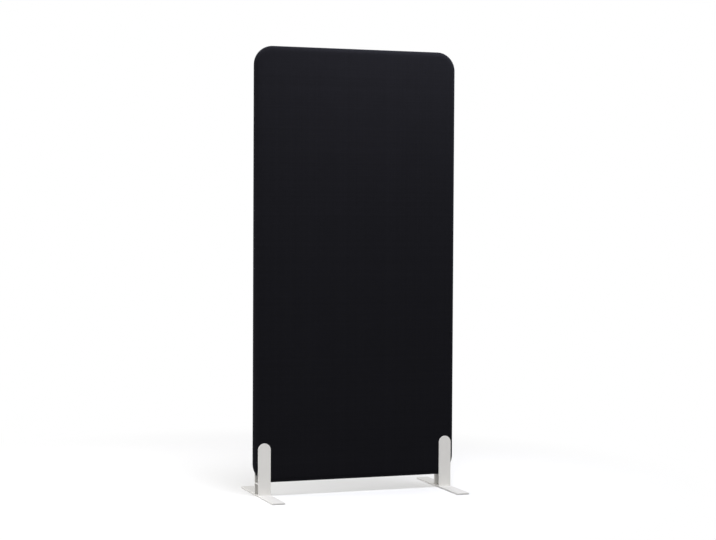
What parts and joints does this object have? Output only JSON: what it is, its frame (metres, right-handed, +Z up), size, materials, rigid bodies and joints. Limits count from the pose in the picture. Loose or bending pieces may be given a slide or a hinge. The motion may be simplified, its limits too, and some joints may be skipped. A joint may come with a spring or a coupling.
{
  "type": "acoustic divider screen",
  "caption": "Free-standing acoustic divider screen: an upright fabric-covered panel with rounded corners, clamped near its lower corners between round-topped uprights on flat steel feet.",
  "frame": {"origin": "on the floor, under the middle of the panel", "axes": "+X to the right seen from the front, +Y to the back, +Z up"},
  "size_m": [0.79, 0.406, 1.65],
  "materials": {
    "cover_fabric": "matte woven wool-like fabric",
    "wadding": "soft fibre",
    "core_board": "pressed fibre",
    "timber": "planed",
    "dowel_wood": "smooth",
    "coated_steel": "fine-textured powder coat",
    "screw_steel": "zinc plated",
    "insert_brass": "turned",
    "pad_rubber": "matte"
  },
  "bodies": {
    "root": {"cover_front": "cover_fabric", "cover_back": "cover_fabric", "wadding_front": "wadding", "wadding_back": "wadding", "core_upper": "core_board", "core_lower": "core_board", "frame_top_rail": "timber", "frame_centre_rail": "timber", "frame_bottom_rail": "timber", "frame_stile_left": "timber", "frame_stile_right": "timber", "top_corner_block_left": "timber", "top_corner_block_right": "timber", "foot_block_left": "timber", "foot_block_right": "timber", "frame_dowels": "dowel_wood", "base_left": "coated_steel", "front_upright_left": "coated_steel", "rear_upright_left": "coated_steel", "spreader_plate_left": "coated_steel", "weld_beads_left": "coated_steel", "screws_left": "screw_steel", "threaded_inserts_left": "insert_brass", "glide_pad_left_front": "pad_rubber", "glide_pad_left_back": "pad_rubber", "base_right": "coated_steel", "front_upright_right": "coated_steel", "rear_upright_right": "coated_steel", "spreader_plate_right": "coated_steel", "weld_beads_right": "coated_steel", "screws_right": "screw_steel", "threaded_inserts_right": "insert_brass", "glide_pad_right_front": "pad_rubber", "glide_pad_right_back": "pad_rubber"}
  },
  "joints": []
}
